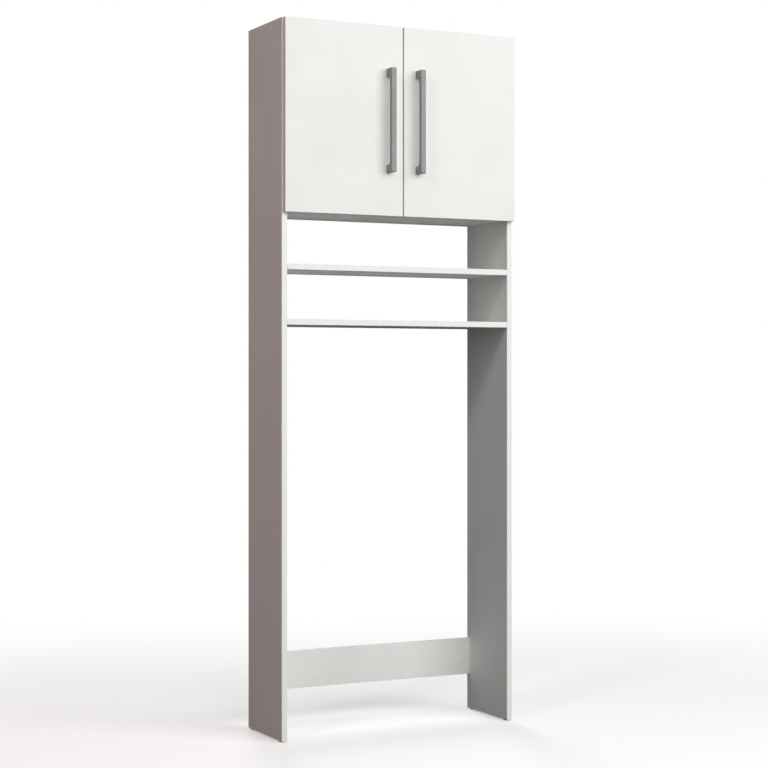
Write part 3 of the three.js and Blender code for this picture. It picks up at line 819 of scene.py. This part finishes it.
class Workshop:
    """Makes the new pieces of the scene, and keeps the trees that they share."""

    merge_distance = 0.002 * MM
    flat_angle = math.radians(1)
    edge_angle = math.radians(32)
    edge_steps = 3
    turned_sides = 28
    turned_rounding = 0.15 * MM

    def __init__(self) -> None:
        """Builds the shared trees."""
        self.trees = {Button: ButtonTree(), Screw: ScrewTree()}

    def grown(
        self, name: str, sizes: Union[Button, Screw], spots: Sequence[Spot], finish: bpy.types.Material
    ) -> bpy.types.Object:
        """Runs the tree of a form on some spots and keeps the result as a plain mesh.

        Args:
            name: The piece's name.
            sizes: The form's sizes, whose kind picks the tree.
            spots: One for each copy.
            finish: The material.

        Returns:
            The piece.
        """
        tree = self.trees[type(sizes)]
        points = bpy.data.meshes.new(f"{name}_spots")
        points.from_pydata([spot.place for spot in spots], [], [])
        facing = points.attributes.new(tree.facing, "FLOAT_VECTOR", "POINT")
        facing.data.foreach_set("vector", [part for spot in spots for part in spot.way.vector])
        piece = placed(name, points)
        modifier = piece.modifiers.new("copies", "NODES")
        modifier.node_group = tree.tree
        for word, value in {**asdict(sizes), "finish": finish}.items():
            modifier[tree.identifiers[word]] = value
        evaluated = piece.evaluated_get(bpy.context.evaluated_depsgraph_get())
        mesh = bpy.data.meshes.new_from_object(evaluated)
        piece.modifiers.remove(modifier)
        piece.data = mesh
        mesh.name = name
        return piece

    def softened(self, node: str, width: float, finish: bpy.types.Material) -> bpy.types.Object:
        """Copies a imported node, joins its loose triangles and rounds its edges.

        Args:
            node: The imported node's name.
            width: How far the rounding reaches from an edge.
            finish: The material.

        Returns:
            The piece, which stands for the node.
        """
        form = bmesh.new()
        form.from_mesh(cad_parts[node].data)
        bmesh.ops.remove_doubles(form, verts=form.verts, dist=self.merge_distance)
        bmesh.ops.dissolve_limit(form, angle_limit=self.flat_angle, verts=form.verts, edges=form.edges)
        return self.rounded(f"{node}_formed", form, width, finish)

    def rounded(
        self, name: str, form: bmesh.types.BMesh, width: float, finish: bpy.types.Material
    ) -> bpy.types.Object:
        """Turns a form into a smooth piece with rounded edges.

        Args:
            name: The piece's name.
            form: The form, which is used up.
            width: How far the rounding reaches from an edge.
            finish: The material.

        Returns:
            The piece.
        """
        for face in form.faces:
            face.smooth = True
        mesh = bpy.data.meshes.new(name)
        form.to_mesh(mesh)
        form.free()
        mesh.materials.append(finish)
        piece = placed(name, mesh)
        bevel = piece.modifiers.new("rounding", "BEVEL")
        bevel.width = width
        bevel.segments = self.edge_steps
        bevel.limit_method = "ANGLE"
        bevel.angle_limit = self.edge_angle
        bevel.harden_normals = True
        return piece

    def turned(
        self, name: str, profile: Profile, spots: Sequence[Spot], finish: bpy.types.Material
    ) -> bpy.types.Object:
        """Turns a profile about its axis, once for each spot.

        Args:
            name: The piece's name.
            profile: Radius and distance along the axis of each point, from pole to pole.
            spots: One for each copy.
            finish: The material.

        Returns:
            The piece.
        """
        form = bmesh.new()
        sides = self.turned_sides
        for spot in spots:
            turn = Way.UP.vector.rotation_difference(spot.way.vector).to_matrix().to_4x4()
            stand = Matrix.Translation(spot.place) @ turn
            rows = []
            for radius, along in profile:
                angles = [math.tau * step / sides for step in range(sides)] if radius else [0.0]
                ring = [Vector((radius * math.cos(a), radius * math.sin(a), along)) for a in angles]
                rows.append([form.verts.new(stand @ point) for point in ring])
            for below, above in zip(rows, rows[1:]):
                for step in range(sides):
                    after = (step + 1) % sides
                    around = ((below, step), (below, after), (above, after), (above, step))
                    corners = [row[place % len(row)] for row, place in around]
                    form.faces.new(list(dict.fromkeys(corners)))
        bmesh.ops.recalc_face_normals(form, faces=form.faces)
        return self.rounded(name, form, self.turned_rounding, finish)


# Parts of the cabinet


@dataclass
class Carcass:
    """The fixed boards, the back board, the feet and what holds them together."""

    workshop: Workshop
    board: CoatedChipboard = CoatedChipboard()
    hardboard: PaintedHardboard = PaintedHardboard()
    cap: Button = Button(radius=8.6 * MM, height=1.1 * MM, squareness=4.0)
    cap_from_end: float = 34 * MM
    cap_inset: float = 45 * MM
    rail_cap_height: float = 30 * MM
    glide_squareness: float = 6.0
    pin_radius: float = 2.5 * MM
    collar_radius: float = 4.2 * MM
    collar: float = 1.2 * MM

    def dress_boards(self) -> None:
        """Gives each board its own coat, bands and raw cuts."""
        level = ("top_panel", "cabinet_floor", "upper_open_shelf", "lower_open_shelf", "inner_shelf")
        banded = {node: [Way.FRONT] for node in level}
        banded["rear_stretcher"] = [Way.UP, Way.DOWN]
        for side in Side:
            banded[f"{side.word}_side_panel"] = [Way.FRONT, Way.UP]
            banded[f"{side.word}_door"] = [Way.LEFT, Way.RIGHT, Way.UP, Way.DOWN]
        for node, ways in banded.items():
            dress(node, self.board.material(f"{node}_coat", Box(node), ways))
        dress("back_panel", self.hardboard.material("painted_hardboard", Box("back_panel").low.y))

    def dress_cams(self) -> None:
        """Gives the cam fittings their cast finish."""
        finish = CAST_ZINC.material("cam_zinc")
        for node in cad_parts:
            if "_cam_" in node:
                dress(node, finish)

    def add_caps(self) -> None:
        """Covers the drums under the boards, and the cams of the top and the stretcher, with white caps."""
        spots = []
        for node in ("top_panel", "cabinet_floor", "upper_open_shelf", "lower_open_shelf"):
            board = Box(node)
            for x in board.inset(Way.RIGHT, self.cap_from_end):
                for y in board.inset(Way.REAR, self.cap_inset):
                    spots.append(Spot(Vector((x, y, board.low.z)), Way.DOWN))
        rail = Box("rear_stretcher")
        for x in rail.inset(Way.RIGHT, self.cap_from_end):
            for z in rail.inset(Way.UP, self.rail_cap_height):
                spots.append(Spot(Vector((x, rail.low.y, z)), Way.FRONT))
        finish = WHITE_CAP.material("white_cap_plastic")
        report(self.workshop.grown("cam_cover_caps", self.cap, spots, finish), CABINET_BODY)

    def add_glides(self) -> None:
        """Puts a smooth moulded glide in place of each packed one."""
        nodes = [f"{side.word}_foot_glide_{place}" for side in Side for place in ("front", "rear")]
        boxes = [Box(node) for node in nodes]
        spots = [Spot(Vector((box.middle.x, box.middle.y, box.high.z)), Way.DOWN) for box in boxes]
        sizes = Button(boxes[0].span(Way.REAR) / 2, boxes[0].span(Way.UP), self.glide_squareness)
        glides = self.workshop.grown("foot_glides", sizes, spots, GREY_GLIDE.material("grey_glide_plastic"))
        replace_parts(report(glides, CABINET_BODY), *nodes)

    def add_shelf_pins(self) -> None:
        """Turns the pins that carry the loose shelf, each with a collar at the middle of its length."""
        finish = NICKEL_PLATE.material("pin_nickel")
        for side in Side:
            nodes = [f"{side.word}_shelf_pin_{place}" for place in ("front", "rear")]
            boxes = [Box(node) for node in nodes]
            length = boxes[0].span(Way.RIGHT)
            stop = length / 2
            pin = self.pin_radius
            collar = self.collar_radius
            past = stop + self.collar
            profile = [(0.0, 0.0), (pin, 0.0), (pin, stop), (collar, stop)]
            profile += [(collar, past), (pin, past), (pin, length), (0.0, length)]
            starts = [Vector((box.end(side.outward), box.middle.y, box.middle.z)) for box in boxes]
            spots = [Spot(start, side.inward) for start in starts]
            pins = self.workshop.turned(f"{side.word}_shelf_pins", profile, spots, finish)
            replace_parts(report(pins, CABINET_BODY), *nodes)


@dataclass
class DoorFurniture:
    """The bar handle of each door, its screws, and the bumpers behind the door."""

    workshop: Workshop
    post: float = 19.5 * MM
    bar: float = 12.5 * MM
    fillet_along: float = 22 * MM
    fillet_out: float = 7 * MM
    corner: float = 2.5 * MM
    edge_rounding: float = 1.1 * MM
    curve_steps: int = 14
    screw_head_height: float = 2.3 * MM
    screw_seed: int = 3
    bumper: Button = Button(radius=4.5 * MM, height=1.9 * MM, squareness=3.0)
    bumper_from_corner: float = 14 * MM

    def outline(self, length: float, reach: float) -> list[tuple[float, float]]:
        """Draws the handle's side view.

        Args:
            length: The handle's length.
            reach: How far its front stands from its feet.

        Returns:
            Places along the bar and out from the door, anticlockwise from the lower foot.
        """
        half = length / 2
        post = half - self.post
        back = reach - self.bar
        under = back - self.fillet_out
        points = [(-half, 0.0)]
        points += self.curve((-half, reach - self.corner), (-half, reach), (-half + self.corner, reach))
        points += self.curve((half - self.corner, reach), (half, reach), (half, reach - self.corner))
        points += [(half, 0.0), (post, 0.0)]
        points += self.curve((post, under), (post, back), (post - self.fillet_along, back))
        points += self.curve((self.fillet_along - post, back), (-post, back), (-post, under))
        points.append((-post, 0.0))
        return points

    def curve(self, start: Sequence[float], pull: Sequence[float], end: Sequence[float]) -> list:
        """Draws a curve that leaves and arrives towards one point.

        Args:
            start: Where it starts.
            pull: The point that it is pulled towards.
            end: Where it ends.

        Returns:
            The points along it, with both ends.
        """
        shares = [step / self.curve_steps for step in range(self.curve_steps + 1)]
        return [
            tuple((1 - s) ** 2 * a + 2 * s * (1 - s) * b + s * s * c for a, b, c in zip(start, pull, end))
            for s in shares
        ]

    def add_handles(self) -> None:
        """Forms each bar handle in one bent piece."""
        finish = SATIN_HANDLE.material("satin_grey_handle")
        for side in Side:
            node = f"{side.word}_door_handle"
            box = Box(node)
            outline = self.outline(box.span(Way.UP), box.span(Way.REAR))
            form = bmesh.new()
            ring = [(box.low.x, box.high.y - out, box.middle.z + along) for along, out in outline]
            face = form.faces.new([form.verts.new(point) for point in ring])
            raised = bmesh.ops.extrude_face_region(form, geom=[face])
            moved = [one for one in raised["geom"] if isinstance(one, bmesh.types.BMVert)]
            bmesh.ops.translate(form, vec=(box.span(Way.RIGHT), 0, 0), verts=moved)
            bmesh.ops.recalc_face_normals(form, faces=form.faces)
            handle = self.workshop.rounded(f"{side.word}_bar_handle", form, self.edge_rounding, finish)
            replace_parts(report(handle, side.leaf), node)

    def add_handle_screws(self) -> None:
        """Puts a cross-headed screw, as wide and as long, in place of each packed handle screw."""
        finish = CHROME_SCREW.material("handle_screw_steel")
        for side in Side:
            nodes = [f"{side.word}_handle_screw_{place}" for place in ("lower", "upper")]
            boxes = [Box(node) for node in nodes]
            box = boxes[0]
            seat = box.high.y - self.screw_head_height
            sizes = Screw(
                box.span(Way.RIGHT) / 2, self.screw_head_height, seat - box.low.y, self.screw_seed)
            spots = [Spot(Vector((one.middle.x, seat, one.middle.z)), Way.REAR) for one in boxes]
            screws = self.workshop.grown(f"{side.word}_handle_screws", sizes, spots, finish)
            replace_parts(report(screws, side.leaf), *nodes)

    def add_bumpers(self) -> None:
        """Sticks two rubber bumpers behind each door, near the edge where the doors meet."""
        finish = CLEAR_RUBBER.material("bumper_rubber")
        heights = [Box(node).middle.z for node in ("cabinet_floor", "top_panel")]
        for side in Side:
            door = Box(f"{side.word}_door")
            x = door.end(side.inward) + side.value * self.bumper_from_corner
            spots = [Spot(Vector((x, door.high.y, z)), Way.REAR) for z in heights]
            bumpers = self.workshop.grown(f"{side.word}_door_bumpers", self.bumper, spots, finish)
            report(bumpers, side.leaf)


@dataclass
class HingeSet:
    """The four concealed hinges: rounded stampings, and the screws that hold and adjust them."""

    workshop: Workshop
    rounding: float = 0.28 * MM
    ear_spacing: float = 45 * MM
    ear_offset: float = 9.5 * MM
    plate_holes: float = 32 * MM
    wing_back: float = 13 * MM
    wing_steel: float = 1.6 * MM
    arm_top: float = 17 * MM
    arm_screws_back: tuple[float, float] = (33 * MM, 49 * MM)
    cup_screw: Screw = hinge_screw(radius=3.6 * MM, height=1.5 * MM, length=11 * MM, seed=5)
    plate_screw: Screw = hinge_screw(radius=3.6 * MM, height=1.7 * MM, length=12 * MM, seed=7)
    arm_screw: Screw = hinge_screw(radius=4.1 * MM, height=1.1 * MM, length=1.2 * MM, seed=11)

    def hinges(self, side: Side) -> list[str]:
        """The names that the pieces of this side's hinges start with."""
        return [f"{side.word}_{place}_hinge" for place in ("lower", "upper")]

    def form_pieces(self) -> None:
        """Puts a rounded stamping or casting in place of each packed hinge piece."""
        steel = NICKEL_PLATE.material("hinge_nickel")
        zinc = CAST_ZINC.material("hinge_plate_zinc")
        for side in Side:
            carried = {
                "cup": (side.leaf, steel, Slot.STEEL),
                "outer_link": (f"{side.word}_outer_links", steel, Slot.STEEL),
                "inner_link": (f"{side.word}_inner_links", steel, Slot.STEEL),
                "arm": (CABINET_BODY, steel, Slot.STEEL),
                "plate": (CABINET_BODY, zinc, Slot.ZINC),
            }
            for hinge in self.hinges(side):
                for part, (body, finish, slot) in carried.items():
                    node = f"{hinge}_{part}"
                    piece = self.workshop.softened(node, self.rounding, finish)
                    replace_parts(report(piece, body), node)

    def add_cup_screws(self) -> None:
        """Screws the flange of each cup to its door."""
        finish = CHROME_SCREW.material("cup_screw_steel")
        for side in Side:
            spots = []
            for hinge in self.hinges(side):
                cup = Box(f"{hinge}_cup")
                x = cup.middle.x - side.value * self.ear_offset
                for end in (-1, 1):
                    z = cup.middle.z + end * self.ear_spacing / 2
                    spots.append(Spot(Vector((x, cup.high.y, z)), Way.REAR))
            screws = self.workshop.grown(f"{side.word}_cup_screws", self.cup_screw, spots, finish)
            report(screws, side.leaf)

    def add_plate_and_arm_screws(self) -> None:
        """Screws the plates to the side panels, and puts the adjusting screws in the arms."""
        finish = CHROME_SCREW.material("hinge_screw_steel")
        plate_spots = []
        arm_spots = []
        for side in Side:
            panel = Box(f"{side.word}_side_panel")
            arm_x = panel.end(side.inward) - side.value * self.arm_top
            for hinge in self.hinges(side):
                plate = Box(f"{hinge}_plate")
                x = plate.end(side.outward) - side.value * self.wing_steel
                y = plate.low.y + self.wing_back
                for end in (-1, 1):
                    z = plate.middle.z + end * self.plate_holes / 2
                    plate_spots.append(Spot(Vector((x, y, z)), side.inward))
                for back in self.arm_screws_back:
                    place = Vector((arm_x, panel.low.y + back, plate.middle.z))
                    arm_spots.append(Spot(place, side.inward))
        screws = self.workshop.grown("hinge_plate_screws", self.plate_screw, plate_spots, finish)
        report(screws, CABINET_BODY)
        screws = self.workshop.grown("hinge_arm_screws", self.arm_screw, arm_spots, finish)
        report(screws, CABINET_BODY)


@dataclass
class WallFixing:
    """The two angle brackets under the top, with the screw of each in the top panel."""

    workshop: Workshop
    steel: float = 2 * MM
    hole_from_end: float = 12 * MM
    rounding: float = 0.5 * MM
    screw: Screw = Screw(
        head_radius=4.4 * MM, head_height=2.2 * MM, shank_length=13 * MM, seed=13,
        shank_radius=1.9 * MM, recess_length=4.6 * MM, recess_width=1.1 * MM)

    def build(self) -> None:
        """Forms the brackets and adds their screws."""
        finish = NICKEL_PLATE.material("bracket_nickel")
        spots = []
        for side in Side:
            node = f"{side.word}_wall_bracket"
            piece = self.workshop.softened(node, self.rounding, finish)
            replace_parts(report(piece, CABINET_BODY), node)
            box = Box(node)
            place = Vector((box.middle.x, box.low.y + self.hole_from_end, box.high.z - self.steel))
            spots.append(Spot(place, Way.DOWN))
        steel = CHROME_SCREW.material("bracket_screw_steel")
        report(self.workshop.grown("bracket_screws", self.screw, spots, steel), CABINET_BODY)


# Studio


@dataclass(frozen=True)
class Lamp:
    """One flat soft lamp."""

    name: str
    place: Triple
    aim: Triple
    width: float
    height: float
    watts: float
    colour: Colour


@dataclass(frozen=True)
class Studio:
    """The floor, the light and the camera."""

    camera_place: Triple = (-2.242754, -4.425587, 0.937534)
    camera_turn: float = -0.4681
    camera_reach: float = 100.0
    focal_pixels: float = 1858.402
    frame_pixels: int = 768
    horizon_pixels: float = 375.015
    white: Colour = (1.0, 1.0, 1.0)
    world_light: Colour = (1.0, 0.98, 0.965)
    world_strength: float = 0.085
    mirror_strength: float = 0.10
    floor_size: float = 24.0
    floor_colour: Colour = (0.80, 0.80, 0.80)
    floor_bounce: Colour = (0.10, 0.095, 0.09)
    floor_glow: float = 0.36
    shadow_start: float = 0.9
    shadow_end: float = 2.6
    lamps: tuple[Lamp, ...] = (
        Lamp("key", (1.0, -4.7, 2.7), (0.0, 0.0, 1.2), 7.0, 3.6, 308.0, (0.995, 1.0, 0.99)),
        Lamp("left_fill", (-4.2, -2.6, 4.0), (0.0, 0.0, 1.0), 1.1, 1.1, 48.0, (1.0, 0.96, 0.945)),
        Lamp("left_wash", (-4.5, 0.02, 2.0), (-0.3, 0.0, 0.9), 0.3, 0.3, 16.5, (1.0, 0.45, 0.40)),
        Lamp("rear_fill", (1.1, 4.3, 2.3), (0.0, 0.0, 1.0), 1.3, 1.3, 88.0, (1.0, 1.0, 1.0)),
    )

    def add_camera(self) -> None:
        """Puts the camera where the cabinet was seen from, level and turned to the right."""
        data = bpy.data.cameras.new("camera")
        data.lens = self.focal_pixels / self.frame_pixels * data.sensor_width
        data.shift_y = (self.horizon_pixels - self.frame_pixels / 2) / self.frame_pixels
        data.clip_end = self.camera_reach
        camera = placed("camera", data)
        camera.location = self.camera_place
        camera.rotation_euler = (math.pi / 2, 0.0, self.camera_turn)
        bpy.context.scene.camera = camera

    def add_lamps(self) -> None:
        """Hangs the lamps, each aimed at its own point of the cabinet."""
        for lamp in self.lamps:
            light = bpy.data.lights.new(lamp.name, "AREA")
            light.shape = "RECTANGLE"
            light.size = lamp.width
            light.size_y = lamp.height
            light.energy = lamp.watts
            light.color = lamp.colour
            hung = placed(lamp.name, light)
            hung.location = lamp.place
            aim = Vector(lamp.aim) - Vector(lamp.place)
            hung.rotation_euler = aim.to_track_quat("-Z", "Y").to_euler()

    def seen(self, bench: Bench) -> Signal:
        """Tells rays that show a thing or its reflection from those that light other things.

        Args:
            bench: The node tree of a material or of the world.

        Returns:
            One for rays from the camera or through glass, the mirror strength for glossy rays, else zero.
        """
        path = bench.node("ShaderNodeLightPath")
        words = ("Is Camera Ray", "Is Glossy Ray", "Is Transmission Ray")
        camera, glossy, clear = (Signal(bench, bench.output(path, word)) for word in words)
        return camera.greater(clear).greater(glossy * self.mirror_strength)

    def add_world(self) -> None:
        """Gives the room a low even light and a white look."""
        world = bpy.data.worlds.new("studio")
        world.use_nodes = True
        bench = Bench(world.node_tree)
        sockets = {"Color": self.world_light, "Strength": self.world_strength}
        light = bench.first("ShaderNodeBackground", sockets)
        white = bench.first("ShaderNodeBackground", {"Color": self.white, "Strength": 1.0})
        sockets = {"Fac": self.seen(bench), "Shader": light, "Shader_001": white}
        mixed = bench.first("ShaderNodeMixShader", sockets)
        bench.node("ShaderNodeOutputWorld", {"Surface": mixed})
        bpy.context.scene.world = world

    def add_floor(self) -> None:
        """Lays a pale floor that keeps the cabinet's shadow."""
        half = self.floor_size / 2
        mesh = bpy.data.meshes.new("floor")
        corners = [(-half, -half, 0), (half, -half, 0), (half, half, 0), (-half, half, 0)]
        mesh.from_pydata(corners, [], [(0, 1, 2, 3)])
        recipe = Recipe("pale_floor")
        x, y, _ = recipe.parts(recipe.place)
        away = ((x * x + y * y) ** 0.5).rising(self.shadow_start, self.shadow_end)
        lit = recipe.first("ShaderNodeBsdfDiffuse", {"Color": self.floor_colour})
        glow = recipe.first("ShaderNodeEmission", {"Color": self.white, "Strength": self.floor_glow})
        near = recipe.first("ShaderNodeAddShader", {"Shader": lit, "Shader_001": glow})
        far = recipe.first("ShaderNodeEmission", {"Color": self.white, "Strength": 1.0})
        shown = recipe.first("ShaderNodeMixShader", {"Fac": away, "Shader": near, "Shader_001": far})
        bounce = recipe.first("ShaderNodeBsdfDiffuse", {"Color": self.floor_bounce})
        sockets = {"Fac": self.seen(recipe), "Shader": bounce, "Shader_001": shown}
        mixed = recipe.first("ShaderNodeMixShader", sockets)
        recipe.node("ShaderNodeOutputMaterial", {"Surface": mixed})
        mesh.materials.append(recipe.material)
        placed("floor", mesh)

    def build(self) -> None:
        """Sets up the whole studio."""
        self.add_camera()
        self.add_lamps()
        self.add_world()
        self.add_floor()
        bpy.context.scene.view_settings.view_transform = "Standard"


def main() -> None:
    """Builds the studio and dresses the cabinet, part by part."""
    logging.basicConfig(level=logging.INFO, format="%(name)s: %(message)s")
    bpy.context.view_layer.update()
    Studio().build()
    workshop = Workshop()

    carcass = Carcass(workshop)
    carcass.dress_boards()
    carcass.dress_cams()
    carcass.add_caps()
    carcass.add_glides()
    carcass.add_shelf_pins()

    furniture = DoorFurniture(workshop)
    furniture.add_handles()
    furniture.add_handle_screws()
    furniture.add_bumpers()

    hinges = HingeSet(workshop)
    hinges.form_pieces()
    hinges.add_cup_screws()
    hinges.add_plate_and_arm_screws()

    WallFixing(workshop).build()


if __name__ == "__main__":
    main()
